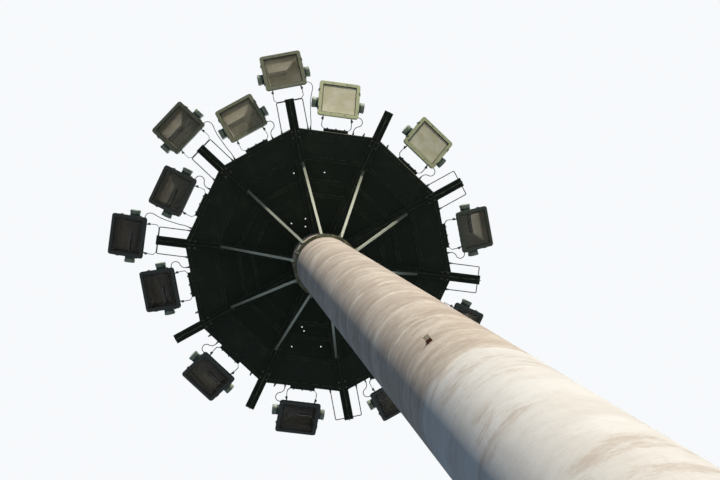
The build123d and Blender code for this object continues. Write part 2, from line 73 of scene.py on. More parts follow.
# The floodlights: ten on the rim's sides, three on spokes. Each has its own frame, with its origin
# between the pivots, X along the front, Y from side to side and Z from the front towards the back.
PIVOT_LEVEL = RIM_LEVEL + 0.035
PACKER_DEPTH = 0.0332
YOKE_BACK = 0.128
YOKE_FACE = 0.122
RIM_PIVOT = RIM_APOTHEM + PACKER_DEPTH + YOKE_BACK
SPOKE_PIVOT = 2.168
LAMP_TILT = math.radians(32)
LAMPS = [(HALF + k * STEP, RIM_PIVOT) for k in range(SIDES)]
LAMPS += [(spoke * STEP, SPOKE_PIVOT) for spoke in (0, 8, 9)]
FRONT_MIDDLE = 0.272
BULB_LEVEL = 0.028

# Turns that lay a piece's own Z along Y, along X, or upside down
ALONG_Y = Matrix.Rotation(-math.pi / 2, 4, "X")
ALONG_X = Matrix.Rotation(math.pi / 2, 4, "Y")
OVER = Matrix.Rotation(math.pi, 4, "X")


def mast_radius(level):
    return FOOT_RADIUS + (HEAD_RADIUS - FOOT_RADIUS) * level / SHAFT_HEIGHT


def turned_about(azimuth):
    return Matrix.Rotation(azimuth, 4, "Z")


def station(azimuth, radius, level=PIVOT_LEVEL):
    """The place of something on the platform, with X outwards and Y round it."""
    return turned_about(azimuth) @ Matrix.Translation((radius, 0, level))


def lamp_place(number):
    azimuth, radius = LAMPS[number - 1]
    return station(azimuth, radius) @ Matrix.Rotation(-LAMP_TILT, 4, "Y")


def facing(origin, out, up=(0, 0, 1)):
    """A place whose Z points along out."""
    z = Vector(out).normalized()
    x = Vector(up).cross(z)
    x = x.normalized() if x.length > 1e-4 else Vector((1, 0, 0))
    place = Matrix((x, z.cross(x), z)).transposed().to_4x4()
    place.translation = origin
    return place


# Camera and light

# The camera stands beside the mast's foot at eye level and looks up, as the photograph does.
view = bpy.data.cameras.new("view")
view.lens = 100
view.sensor_width = 36
view.clip_start = 0.05
view.clip_end = 400
camera = bpy.data.objects.new("view", view)
right = Vector((-0.182048, 0.978499, -0.096941))
ahead = Vector((-0.075543, 0.084379, 0.993566))
camera.matrix_world = Matrix((right, right.cross(ahead), -ahead)).transposed().to_4x4()
camera.matrix_world.translation = (2.0578, -1.5747, 1.6)
bpy.context.collection.objects.link(camera)
bpy.context.scene.camera = camera
bpy.context.scene.view_settings.view_transform = "Standard"


def sun(name, energy, spread, colour, azimuth, slope):
    """A far light, with its spread, its azimuth and its slope above the ground in degrees."""
    light = bpy.data.lights.new(name, "SUN")
    light.energy = energy
    light.angle = math.radians(spread)
    light.color = colour
    held = bpy.data.objects.new(name, light)
    turn = math.radians(azimuth)
    toward = Vector((math.cos(turn), math.sin(turn), math.tan(math.radians(slope))))
    held.rotation_euler = toward.to_track_quat("Z", "Y").to_euler()
    bpy.context.collection.objects.link(held)


sun("key", 4.0, 2, (1.0, 0.93, 0.82), azimuth=21, slope=14)
sun("rear", 1.5, 12, (0.93, 0.96, 1.0), azimuth=150, slope=32)


# How finishes are put together


def put(tree, kind, inputs=None, **settings):
    """A node, with its settings, and with each input given a value or a link."""
    made = tree.nodes.new(kind)
    for name, value in settings.items():
        setattr(made, name, value)
    for name, value in (inputs or {}).items():
        if isinstance(value, bpy.types.NodeSocket):
            tree.links.new(value, made.inputs[name])
        else:
            made.inputs[name].default_value = value
    return made


def blended(tree, factor, first, second):
    """Two colours mixed by a mask. Each is a colour or a link."""
    made = tree.nodes.new("ShaderNodeMix")
    made.data_type = "RGBA"
    for index, value in ((0, factor), (6, first), (7, second)):
        if isinstance(value, bpy.types.NodeSocket):
            tree.links.new(value, made.inputs[index])
        elif index:
            made.inputs[index].default_value = (*value, 1.0)
        else:
            made.inputs[index].default_value = value
    return made.outputs[2]


def between(tree, value, low, high, to_low=0.0, to_high=1.0):
    """A value brought smoothly from one range into another."""
    made = put(
        tree,
        "ShaderNodeMapRange",
        {"Value": value, "From Min": low, "From Max": high, "To Min": to_low, "To Max": to_high},
        interpolation_type="SMOOTHSTEP",
    )
    return made.outputs["Result"]


def sums(tree, operation, first, second):
    """Arithmetic on masks, kept between 0 and 1."""
    return put(tree, "ShaderNodeMath", {0: first, 1: second}, operation=operation, use_clamp=True).outputs[0]


def sums_free(tree, operation, first, second, third=None):
    """Arithmetic that may leave the range from 0 to 1."""
    values = {0: first, 1: second}
    if third is not None:
        values[2] = third
    return put(tree, "ShaderNodeMath", values, operation=operation).outputs[0]


def both(tree, first, second):
    """The product of two masks, or of a mask and a strength."""
    return sums(tree, "MULTIPLY", first, second)


def noise(tree, vector, scale, detail=4.0, roughness=0.55):
    inputs = {"Vector": vector, "Scale": scale, "Detail": detail, "Roughness": roughness}
    return put(tree, "ShaderNodeTexNoise", inputs).outputs["Fac"]


def place_of(tree, scale=(1, 1, 1), location=(0, 0, 0)):
    """Object coordinates, stretched and moved."""
    seen = put(tree, "ShaderNodeTexCoord").outputs["Object"]
    made = put(tree, "ShaderNodeMapping", {"Vector": seen, "Scale": scale, "Location": location})
    return made.outputs["Vector"]


def own_place(tree, place):
    """Object coordinates, read in a piece's own frame."""
    seen = put(tree, "ShaderNodeTexCoord").outputs["Object"]
    made = put(
        tree,
        "ShaderNodeMapping",
        {"Vector": seen, "Location": place.translation, "Rotation": place.to_euler()},
        vector_type="TEXTURE",
    )
    return made.outputs["Vector"]


def axes_of(tree, vector):
    return put(tree, "ShaderNodeSeparateXYZ", {0: vector}).outputs


def from_axis(tree):
    """The distance from the mast's axis."""
    level = place_of(tree, scale=(1, 1, 0))
    return put(tree, "ShaderNodeVectorMath", {0: level}, operation="LENGTH").outputs["Value"]


def covered(tree, value, cover, softness):
    """A mask over as much of a noise as cover asks for, with a soft edge."""
    edge = sums_free(tree, "SUBTRACT", 1.0, cover)
    high = sums_free(tree, "ADD", edge, softness)
    made = put(tree, "ShaderNodeMapRange", {"Value": value, "From Min": edge, "From Max": high})
    return made.outputs["Result"]


def new_group(name, inputs, outputs):
    tree = bpy.data.node_groups.new(name, "ShaderNodeTree")
    for label, value in inputs:
        tree.interface.new_socket(label, in_out="INPUT", socket_type="NodeSocketFloat").default_value = value
    for label in outputs:
        tree.interface.new_socket(label, in_out="OUTPUT", socket_type="NodeSocketFloat")
    return tree, tree.nodes.new("NodeGroupInput"), tree.nodes.new("NodeGroupOutput")


def worn_edges():
    """Where paint is rubbed thin: a mask of the corners, broken up."""
    tree, given, result = new_group("worn edges", [("Width", 0.004), ("Amount", 1.0)], ["Mask"])
    soft = put(tree, "ShaderNodeBevel", {"Radius": given.outputs["Width"]}, samples=4).outputs["Normal"]
    true = put(tree, "ShaderNodeNewGeometry").outputs["Normal"]
    dot = put(tree, "ShaderNodeVectorMath", {0: soft, 1: true}, operation="DOT_PRODUCT")
    corner = between(tree, dot.outputs["Value"], 0.97, 0.80)
    broken = between(tree, noise(tree, place_of(tree), 13.0, 9.0, 0.72), 0.44, 0.60)
    tree.links.new(both(tree, both(tree, corner, broken), given.outputs["Amount"]), result.inputs["Mask"])
    return tree


def grime():
    """Dirt that lies in patches, with finer grains in it."""
    tree, given, result = new_group("grime", [("Scale", 4.0), ("Cover", 0.5)], ["Mask"])
    seen = place_of(tree)
    patches = noise(tree, seen, given.outputs["Scale"], 7.0, 0.62)
    patches = covered(tree, patches, given.outputs["Cover"], 0.22)
    grains = between(tree, noise(tree, seen, 90.0, 3.0), 0.35, 0.7)
    tree.links.new(both(tree, patches, sums(tree, "ADD", grains, 0.35)), result.inputs["Mask"])
    return tree


def rain_streaks():
    """Marks that water leaves as it runs down."""
    tree, given, result = new_group("rain streaks", [("Fineness", 14.0), ("Cover", 0.5)], ["Mask"])
    runs = noise(tree, place_of(tree, scale=(1, 1, 0.06)), given.outputs["Fineness"], 5.0, 0.6)
    tree.links.new(covered(tree, runs, given.outputs["Cover"], 0.25), result.inputs["Mask"])
    return tree


WORN = worn_edges()
GRIME = grime()
STREAKS = rain_streaks()


def effect(tree, group, **inputs):
    made = put(tree, "ShaderNodeGroup", node_tree=group)
    for name, value in inputs.items():
        made.inputs[name].default_value = value
    return made.outputs["Mask"]


def finish(name, roughness, metallic=0.0, specular=0.4):
    """A new material, its tree and its shader."""
    made = bpy.data.materials.new(name)
    made.use_nodes = True
    shader = made.node_tree.nodes["Principled BSDF"]
    shader.inputs["Roughness"].default_value = roughness
    shader.inputs["Metallic"].default_value = metallic
    shader.inputs["Specular IOR Level"].default_value = specular
    return made, made.node_tree, shader


def bumped(tree, shader, height, distance, strength):
    made = put(tree, "ShaderNodeBump", {"Height": height, "Distance": distance, "Strength": strength})
    tree.links.new(made.outputs["Normal"], shader.inputs["Normal"])


def fine_grain(tree, shader, roughness):
    """The small unevenness of old paint, in its roughness and its relief."""
    fine = noise(tree, place_of(tree), 160.0, 4.0)
    uneven = between(tree, fine, 0.3, 0.7, roughness - 0.1, roughness + 0.14)
    tree.links.new(uneven, shader.inputs["Roughness"])
    bumped(tree, shader, fine, 0.0012, 0.35)


# The finishes


def cast_concrete():
    """Spun concrete: brown above with a pale line at each casting joint, and paler below mid height."""
    made, tree, shader = finish("cast concrete", roughness=0.82, specular=0.25)
    seen = place_of(tree)
    height = axes_of(tree, seen)["Z"]

    # noises drawn out sideways, on coordinates that are bent a little
    bent = put(tree, "ShaderNodeTexNoise", {"Vector": seen, "Scale": 1.3, "Detail": 5.0}).outputs["Color"]
    little = put(tree, "ShaderNodeVectorMath", {0: bent, 1: (0.45, 0.45, 0.45)}, operation="MULTIPLY")
    warp = put(tree, "ShaderNodeVectorMath", {0: seen, 1: little.outputs["Vector"]}, operation="ADD")
    warp = warp.outputs["Vector"]
    flat = put(tree, "ShaderNodeMapping", {"Vector": warp, "Scale": (1.7, 1.7, 5.0)}).outputs["Vector"]
    wide = put(tree, "ShaderNodeMapping", {"Vector": warp, "Scale": (1.5, 1.5, 3.0)}).outputs["Vector"]
    rings = noise(tree, flat, 1.4, 11.0, 0.66)
    bands = noise(tree, wide, 1.0, 11.0, 0.70)
    clouds = noise(tree, place_of(tree, scale=(1.1, 1.1, 0.9)), 1.7, 9.0, 0.66)
    pores = noise(tree, seen, 110.0, 5.0, 0.6)
    grain = noise(tree, place_of(tree, scale=(1, 1, 1.6)), 11.0, 9.0, 0.74)

    # the upper part: each cast length is darker towards its lower end, with a pale line at its joint
    brown = (0.400, 0.320, 0.255)
    rise = sums_free(tree, "MULTIPLY_ADD", height, 0.95, sums_free(tree, "MULTIPLY", bands, 1.1))
    upward = sums_free(tree, "FRACT", rise, 0.0)
    near_joint = sums_free(tree, "PINGPONG", rise, 0.5)
    upper = blended(tree, between(tree, rings, 0.36, 0.64), (0.485, 0.410, 0.335), (0.63, 0.555, 0.465))
    upper = blended(tree, between(tree, upward, 0.95, 0.05, 0.0, 0.45), upper, brown)
    upper = blended(tree, between(tree, bands, 0.48, 0.58, 0.0, 0.55), upper, brown)
    upper = blended(tree, between(tree, clouds, 0.50, 0.66, 0.0, 0.6), upper, (0.72, 0.66, 0.56))
    pale_line = both(tree, between(tree, near_joint, 0.055, 0.0), between(tree, rings, 0.42, 0.56))
    upper = blended(tree, both(tree, pale_line, 0.75), upper, (0.80, 0.745, 0.64))

    # the lower part: pale, with brown blotches in some regions
    lower = blended(tree, between(tree, clouds, 0.38, 0.62), (0.69, 0.662, 0.612), (0.755, 0.740, 0.705))
    blotches = noise(tree, place_of(tree, scale=(1, 1, 1.4), location=(3, 1, 0)), 2.3, 12.0, 0.74)
    blotches = between(tree, blotches, 0.50, 0.62)
    region = between(tree, noise(tree, place_of(tree, location=(0, 5, 2)), 0.75, 2.0), 0.40, 0.58)
    lower = blended(tree, both(tree, both(tree, blotches, region), 0.60), lower, (0.50, 0.41, 0.33))
    stripes = both(tree, between(tree, bands, 0.55, 0.66, 0.0, 0.5), region)
    lower = blended(tree, stripes, lower, (0.54, 0.46, 0.38))

    # the ragged join between the two parts
    wavy = sums_free(tree, "MULTIPLY_ADD", clouds, 1.3, height)
    join_at = between(tree, sums_free(tree, "MULTIPLY_ADD", bands, 0.9, wavy), 14.15, 14.55)
    body = blended(tree, join_at, lower, upper)

    # grain, rain marks and pores over all of it
    coarse = between(tree, join_at, 0.0, 1.0, 0.16, 0.45)
    body = blended(tree, both(tree, between(tree, grain, 0.50, 0.66), coarse), body, (0.42, 0.34, 0.275))
    body = blended(tree, between(tree, grain, 0.48, 0.36, 0.0, 0.35), body, (0.76, 0.72, 0.65))
    runs = both(tree, effect(tree, STREAKS, Fineness=7.0, Cover=0.45), 0.24)
    body = blended(tree, runs, body, (0.33, 0.28, 0.23))
    body = blended(tree, between(tree, pores, 0.60, 0.70, 0.0, 0.5), body, (0.24, 0.20, 0.17))
    tree.links.new(body, shader.inputs["Base Color"])
    tree.links.new(between(tree, clouds, 0.3, 0.7, 0.74, 0.9), shader.inputs["Roughness"])
    bumped(tree, shader, sums_free(tree, "MULTIPLY_ADD", pores, 0.25, rings), 0.003, 0.25)
    return made


def painted(
    name, base, faded, worn, roughness=0.7, scale=3.5, cover=0.5, specular=0.12, edge=0.004, sheltered=1.0
):
    """Old paint on steel: faded in patches, streaked by rain and rubbed at its edges.

    Sheltered is the share of the rubbing that is left inside the rim, below the deck.
    """
    made, tree, shader = finish(name, roughness=roughness, specular=specular)
    colour = blended(tree, effect(tree, GRIME, Scale=scale, Cover=cover), base, faded)
    runs = both(tree, effect(tree, STREAKS, Fineness=22.0, Cover=0.46), 0.3)
    colour = blended(tree, runs, colour, tuple(0.45 * c for c in base))
    rubbed = effect(tree, WORN, Width=edge, Amount=0.9)
    if sheltered < 1.0:
        rubbed = both(tree, rubbed, between(tree, from_axis(tree), 1.50, 1.72, sheltered, 1.0))
    colour = blended(tree, rubbed, colour, worn)
    tree.links.new(colour, shader.inputs["Base Color"])
    fine_grain(tree, shader, roughness)
    return made


def rim_paint_and_highlight():
    """Dark paint on the rim, with a painted highlight of pale colour on its lower outer corner, in patches on
    the sides that face the sun.
    """
    made, tree, shader = finish("rim paint and highlight", roughness=0.7, specular=0.12)
    dirt = effect(tree, GRIME, Scale=3.5, Cover=0.5)
    colour = blended(tree, dirt, (0.027, 0.038, 0.028), (0.050, 0.064, 0.045))

    # the outer corner, by the distance from the axis square to each side and by the height
    axes = axes_of(tree, place_of(tree))
    around = sums_free(tree, "ARCTAN2", axes["Y"], axes["X"])
    from_middle = sums_free(tree, "SUBTRACT", HALF, sums_free(tree, "PINGPONG", around, HALF))
    apothem = sums_free(tree, "MULTIPLY", from_axis(tree), sums_free(tree, "COSINE", from_middle, 0.0))
    outer = between(tree, apothem, RIM_APOTHEM - 0.009, RIM_APOTHEM - 0.005)
    lowest = between(tree, axes["Z"], RIM_LEVEL + 0.006, RIM_LEVEL + 0.003)
    corner = both(tree, outer, lowest)

    # a painted highlight: only in patches and on the sides that face the sun
    patchy = between(tree, noise(tree, place_of(tree), 2.2, 6.0), 0.30, 0.50)
    sun_side = (0.81, 0.59, 0.0)
    toward = put(tree, "ShaderNodeVectorMath", {0: place_of(tree), 1: sun_side}, operation="DOT_PRODUCT")
    sunlit_highlight = between(tree, toward.outputs["Value"], 1.15, 1.35)
    colour = blended(tree, both(tree, corner, both(tree, patchy, sunlit_highlight)), colour, (0.78, 0.74, 0.52))
    # rubbed edges, pale all round: worn paint that also stands in for a painted highlight on the rim's edges
    colour = blended(tree, effect(tree, WORN, Width=0.010, Amount=0.8), colour, (0.60, 0.58, 0.38))
    tree.links.new(colour, shader.inputs["Base Color"])
    fine_grain(tree, shader, 0.7)
    return made


def strut_paint_and_shade():
    """Old pale paint on the struts, with painted shade that makes them darker and greener out under the deck.
    """
    made, tree, shader = finish("pale strut paint with painted shade", roughness=0.55)
    colour = blended(tree, effect(tree, GRIME, Scale=4.0, Cover=0.45), (0.66, 0.69, 0.55), (0.40, 0.46, 0.33))
    runs = both(tree, effect(tree, STREAKS, Fineness=22.0, Cover=0.46), 0.25)
    colour = blended(tree, runs, colour, (0.28, 0.31, 0.23))
    # painted shade: darker and greener further from the mast, out under the deck
    ragged = sums_free(tree, "MULTIPLY_ADD", noise(tree, place_of(tree), 6.0, 5.0), 0.25, from_axis(tree))
    colour = blended(tree, between(tree, ragged, 0.90, 1.32, 0.0, 0.80), colour, (0.13, 0.155, 0.10))
    colour = blended(tree, effect(tree, WORN, Width=0.004, Amount=0.6), colour, (0.80, 0.79, 0.66))
    tree.links.new(colour, shader.inputs["Base Color"])
    fine_grain(tree, shader, 0.55)
    return made


def deck_sheet():
    """Dark painted deck plate with small raised studs, dusty between them."""
    made, tree, shader = finish("deck sheet", roughness=0.75, specular=0.10)
    studs = put(tree, "ShaderNodeTexVoronoi", {"Vector": place_of(tree), "Scale": 42.0, "Randomness": 0.15})
    raised = between(tree, studs.outputs["Distance"], 0.40, 0.26)
    dirt = effect(tree, GRIME, Scale=2.0, Cover=0.5)
    flat = blended(tree, dirt, (0.027, 0.038, 0.027), (0.052, 0.068, 0.046))
    colour = blended(tree, both(tree, raised, 0.65), flat, (0.150, 0.165, 0.115))
    tree.links.new(colour, shader.inputs["Base Color"])
    bumped(tree, shader, raised, 0.002, 0.8)
    return made


def old_galvanising(name, base, dull, rust_cover=0.28):
    """Hot-dip zinc gone dull, with spangle, and rust where it has worn through."""
    made, tree, shader = finish(name, roughness=0.5, metallic=0.55)
    seen = place_of(tree)
    spangle = put(tree, "ShaderNodeTexVoronoi", {"Vector": seen, "Scale": 55.0}, feature="F1")
    tone = put(tree, "ShaderNodeSeparateColor", {0: spangle.outputs["Color"]}).outputs[0]
    colour = blended(tree, between(tree, tone, 0.2, 0.9), base, dull)
    rust = both(tree, effect(tree, GRIME, Scale=7.0, Cover=rust_cover), 0.8)
    colour = blended(tree, rust, colour, (0.17, 0.075, 0.035))
    bare = tuple(min(1, 1.5 * c) for c in base)
    colour = blended(tree, effect(tree, WORN, Width=0.0025, Amount=0.6), colour, bare)
    tree.links.new(colour, shader.inputs["Base Color"])
    tree.links.new(between(tree, tone, 0.1, 0.9, 0.42, 0.62), shader.inputs["Roughness"])
    bumped(tree, shader, noise(tree, seen, 220.0, 3.0), 0.0008, 0.3)
    return made


def bracket_steel():
    """The bracket on the mast: dark red-brown at its root, pale further out, its pale tone raised as painted
    light.
    """
    made, tree, shader = finish("bracket steel", roughness=0.85)
    scale = noise(tree, place_of(tree), 70.0, 8.0, 0.7)
    rust = blended(tree, between(tree, scale, 0.35, 0.65), (0.085, 0.028, 0.016), (0.22, 0.075, 0.04))
    root = station(BRACKET_AZIMUTH, mast_radius(BRACKET_LEVEL), BRACKET_LEVEL)
    out = axes_of(tree, own_place(tree, root))["X"]
    ragged = sums_free(tree, "MULTIPLY_ADD", scale, 0.006, out)
    # painted light: the pale tone further out is raised to look sunlit; the root is dark red-brown
    colour = blended(tree, between(tree, ragged, 0.025, 0.028), rust, (0.86, 0.79, 0.63))
    tree.links.new(colour, shader.inputs["Base Color"])
    bumped(tree, shader, scale, 0.002, 0.8)
    return made


# How much painted sunlight each floodlight's front, glass and reflector are given, from painted shade (0) to
# fully sunlit (1)
SUNLIT_SHARE = (1.0, 0.96, 0.42, 0.26, 0.12, 0.08, 0.15, 0.10, 0.25, 0.62, 0.56, 0.12, 0.46)


# A colour between its painted-shade tone and its painted-sunlit tone, set by the floodlight's share
def sunlit_tone(number, fresh, old, power=1.0):
    share = SUNLIT_SHARE[number - 1] ** power
    return tuple(a + (b - a) * share for a, b in zip(fresh, old))


def lamp_shell(number):
    """A floodlight's housing, read in its own frame: the front frame is painted pale as if sunlit on some
    floodlights and near black as if shaded on others, the back is darker.
    """
    made, tree, shader = finish(f"lamp shell {number:02d}", roughness=0.5)
    own = own_place(tree, lamp_place(number))
    axes = axes_of(tree, own)
    back = axes["Z"]
    side = sums_free(tree, "ABSOLUTE", axes["Y"], 0.0)

    # the front frame, the body behind it and the caps of the drums at its sides
    # painted light: the front frame's tone runs from near black in painted shade to pale yellow-green in
    # painted sunlight
    tone = sunlit_tone(number, (0.016, 0.021, 0.018), (0.62, 0.66, 0.38), 2.1)
    soiled = tuple(0.62 * c for c in tone)
    front = blended(tree, effect(tree, GRIME, Scale=5.0 + number % 4, Cover=0.50), tone, soiled)
    dirt = effect(tree, GRIME, Scale=6.0 + number % 3, Cover=0.45)
    body = blended(tree, dirt, (0.030, 0.062, 0.050), (0.085, 0.105, 0.080))
    colour = blended(tree, between(tree, back, -0.0285, -0.0265), front, body)
    colour = blended(tree, between(tree, side, 0.284, 0.287, 0.0, 0.85), colour, (0.46, 0.55, 0.42))

    # rain marks; rubbed edges, paler on the floodlights given more painted sunlight; and wider pale edges on
    # the body, which are worn paint and a painted highlight
    runs = both(tree, effect(tree, STREAKS, Fineness=26.0, Cover=0.44), 0.35)
    colour = blended(tree, runs, colour, (0.045, 0.05, 0.038))
    rubbed = sunlit_tone(number, (0.12, 0.15, 0.11), (0.76, 0.80, 0.56))
    colour = blended(tree, effect(tree, WORN, Width=0.006, Amount=0.8), colour, rubbed)
    worn_and_sheen_edges = both(tree, effect(tree, WORN, Width=0.014, Amount=1.0), between(tree, back, -0.02, 0.0))
    colour = blended(tree, worn_and_sheen_edges, colour, (0.55, 0.62, 0.52))
    tree.links.new(colour, shader.inputs["Base Color"])
    fine = noise(tree, own, 120.0, 4.0)
    tree.links.new(between(tree, fine, 0.3, 0.7, 0.42, 0.66), shader.inputs["Roughness"])
    bumped(tree, shader, fine, 0.0012, 0.4)
    return made


def lamp_window(number):
    """Front glass with a film of dust, thicker towards its lower edge; the film is thicker and paler on the
    floodlights given more painted sunlight, darker and clearer on those in painted shade.
    """
    made, tree, shader = finish(f"lamp window {number:02d}", roughness=0.12, specular=0.22)
    # faded holds the floodlight's share of painted sunlight: the film's thickness follows it
    faded = SUNLIT_SHARE[number - 1]
    along = axes_of(tree, own_place(tree, lamp_place(number)))["X"]
    film = noise(tree, place_of(tree, location=(number, 0, 0)), 5.0 + number % 5, 6.0, 0.6)
    patches = both(tree, between(tree, film, 0.38, 0.68), 0.10)
    lower = both(tree, between(tree, along, 0.26, 0.06, 0.0, 0.16), 0.3 + 0.7 * faded)
    dust = sums(tree, "ADD", sums(tree, "ADD", patches, lower), 0.05 + 0.74 * faded ** 5)
    # painted light: the glass tone runs from near black in painted shade to cream in painted sunlight
    clear = sunlit_tone(number, (0.055, 0.052, 0.042), (0.92, 0.88, 0.60))
    dusty = sunlit_tone(number, (0.085, 0.078, 0.060), (0.98, 0.95, 0.74))
    colour = blended(tree, between(tree, film, 0.40, 0.66), clear, dusty)
    tree.links.new(colour, shader.inputs["Base Color"])
    tree.links.new(dust, shader.inputs["Alpha"])
    tree.links.new(between(tree, film, 0.3, 0.7, 0.08, 0.30), shader.inputs["Roughness"])
    made.surface_render_method = "DITHERED"
    return made


def reflector_sheet(number):
    """Aged aluminium with dust, cream on the floodlights given painted sunlight and near black on those in
    painted shade. The panel nearest the outer side is metallic and smoother, and carries a painted patch of
    sunlight.
    """
    made, tree, shader = finish(f"reflector sheet {number:02d}", roughness=0.38, metallic=0.2)
    own = own_place(tree, lamp_place(number))
    axes = axes_of(tree, own)

    # the shiny panel and its painted patch of sunlight: one strip of the tray, cut off by a slanted line that
    # paints the edge of the housing's shadow
    strip = both(
        tree,
        between(tree, axes["X"], 0.3600, 0.3640),
        between(tree, axes["X"], 0.4475, 0.4455),
    )
    slant = sums_free(tree, "MULTIPLY_ADD", axes["X"], -1.35, axes["Y"])
    polish_and_painted_sun = both(tree, strip, between(tree, slant, -0.418, -0.440))
    # painted light: the tray runs from near black in painted shade to cream in painted sunlight, by the
    # floodlight's share
    dull = sunlit_tone(number, (0.030, 0.031, 0.029), (0.68, 0.61, 0.42))
    dusty = sunlit_tone(number, (0.020, 0.020, 0.019), (0.50, 0.42, 0.27))
    painted_sunlight = sunlit_tone(number, (0.0, 0.0, 0.0), (1.0, 0.88, 0.64), 1.4)
    colour = blended(tree, effect(tree, GRIME, Scale=4.0, Cover=0.5), dull, dusty)
    tree.links.new(blended(tree, polish_and_painted_sun, colour, painted_sunlight), shader.inputs["Base Color"])
    tree.links.new(both(tree, polish_and_painted_sun, 0.92), shader.inputs["Metallic"])
    tree.links.new(between(tree, polish_and_painted_sun, 0.0, 1.0, 0.45, 0.30), shader.inputs["Roughness"])
    bumped(tree, shader, noise(tree, own, 6.0, 2.0), 0.004, 0.2)
    return made


def plain(name, base, second, roughness, metallic=0.0, scale=40.0, depth=0.0006):
    """A small part's finish: two close tones, a little roughness and grain."""
    made, tree, shader = finish(name, roughness=roughness, metallic=metallic)
    seen = place_of(tree)
    tone = noise(tree, seen, scale, 5.0, 0.6)
    tree.links.new(blended(tree, between(tree, tone, 0.35, 0.65), base, second), shader.inputs["Base Color"])
    fine = noise(tree, seen, scale * 6, 3.0)
    uneven = between(tree, fine, 0.3, 0.7, roughness - 0.08, roughness + 0.12)
    tree.links.new(uneven, shader.inputs["Roughness"])
    bumped(tree, shader, fine, depth, 0.4)
    return made


DARK_PAINT = painted("dark platform paint", (0.027, 0.038, 0.028), (0.052, 0.066, 0.046), (0.30, 0.31, 0.18))
RING_PAINT = painted(
    "ring bar paint", (0.028, 0.038, 0.027), (0.052, 0.064, 0.044), (0.34, 0.35, 0.21), edge=0.010
)
BEAM_PAINT = painted(
    "beam paint", (0.034, 0.045, 0.033), (0.066, 0.080, 0.056), (0.58, 0.60, 0.38), edge=0.010, sheltered=0.35
)
# The collar's dark paint and its pale patches and edges are made paler as painted light
COLLAR_PAINT_AND_LIGHT = painted(
    "collar paint and painted light", (0.16, 0.175, 0.115), (0.58, 0.59, 0.42), (0.76, 0.74, 0.56),
    roughness=0.6, scale=7.0, cover=0.55, specular=0.2, edge=0.012,
)
DECK = deck_sheet()
ZINC = old_galvanising("old galvanising", (0.34, 0.36, 0.35), (0.25, 0.27, 0.26))
DARK_ZINC = old_galvanising("yoke steel", (0.10, 0.115, 0.11), (0.065, 0.075, 0.07), 0.4)
BOLT = plain("bolt steel", (0.075, 0.080, 0.076), (0.115, 0.095, 0.075), 0.5, metallic=0.5)
PLASTIC = plain("gland plastic", (0.02, 0.02, 0.02), (0.035, 0.035, 0.033), 0.45)
SHEATH = plain("cable sheath", (0.025, 0.028, 0.03), (0.05, 0.05, 0.05), 0.5, scale=60.0)
PALE_SHEATH = plain("pale cable sheath", (0.62, 0.63, 0.62), (0.48, 0.48, 0.46), 0.5, scale=60.0)
RUBBER = plain("black rubber", (0.018, 0.018, 0.018), (0.04, 0.038, 0.034), 0.75)
MILKY = plain("lamp bulb glass", (0.15, 0.145, 0.125), (0.11, 0.105, 0.09), 0.2, scale=4.0, depth=0.0)
CERAMIC = plain("ceramic holder", (0.16, 0.145, 0.12), (0.11, 0.10, 0.08), 0.4)


def dress(name, used):
    slots = nodes[name].data.materials
    slots.clear()
    slots.append(used)


for used, names in (
    (cast_concrete(), ("mast_shaft",)),
    (bracket_steel(), ("mast_bracket",)),
    (ZINC, ("mast_cap", "service_door", "guard_posts", "guard_rails")),
    (strut_paint_and_shade(), ("struts",)),
    (COLLAR_PAINT_AND_LIGHT, ("strut_collar",)),
    (rim_paint_and_highlight(), ("rim_sides",)),
    (DARK_PAINT, ("hub_collar", "deck_outer", "yoke_packers")),
    (BEAM_PAINT, ("deck_beams",)),
    (RING_PAINT, ("ring_bars",)),
    (DECK, ("deck_inner", "deck_middle")),
    (DARK_ZINC, ("yokes", "rod_frames")),
    (PLASTIC, ("rim_glands",)),
):
    for name in names:
        dress(name, used)
for number in range(1, len(LAMPS) + 1):
    dress(f"housing_{number:02d}", lamp_shell(number))
    dress(f"glass_{number:02d}", lamp_window(number))


# How new pieces are made


def mesh_object(name, bm, used, crease):
    """An object from a bmesh, smooth but for creases over an angle in degrees."""
    mesh = bpy.data.meshes.new(name)
    bm.to_mesh(mesh)
    bm.free()
    mesh.polygons.foreach_set("use_smooth", [True] * len(mesh.polygons))
    mesh.set_sharp_from_angle(angle=math.radians(crease))
    mesh.materials.append(used)
    made = bpy.data.objects.new(name, mesh)
    bpy.context.collection.objects.link(made)
    return made


def piece(name, bm, body, used):
    """A rigid piece that rides on a body."""
    made = mesh_object(name, bm, used, crease=35)
    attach(made, body)


def join(target, source, places=(Matrix(),)):
    """Copies of one bmesh, added to another at each place."""
    mesh = bpy.data.meshes.new("copied")
    source.to_mesh(mesh)
    source.free()
    for place in places:
        copy = mesh.copy()
        copy.transform(place)
        target.from_mesh(copy)
        bpy.data.meshes.remove(copy)
    bpy.data.meshes.remove(mesh)
    return target


def many(name, source, places, used=BOLT):
    """One piece on the tower, made of copies of a small part."""
    bm = join(bmesh.new(), source, places)
    bmesh.ops.recalc_face_normals(bm, faces=bm.faces)
    piece(name, bm, "tower", used)


def turned(profile, around=20):
    """A closed solid turned about Z from its profile of radii and heights."""
    bm = bmesh.new()
    line = [bm.verts.new((radius, 0, height)) for radius, height in profile]
    for pair in zip(line, line[1:]):
        bm.edges.new(pair)
    outline = bm.verts[:] + bm.edges[:]
    bmesh.ops.spin(
        bm, geom=outline, cent=(0, 0, 0), axis=(0, 0, 1), angle=math.tau, steps=around, use_merge=True
    )
    bmesh.ops.remove_doubles(bm, verts=bm.verts, dist=1e-6)
    bmesh.ops.recalc_face_normals(bm, faces=bm.faces)
    return bm


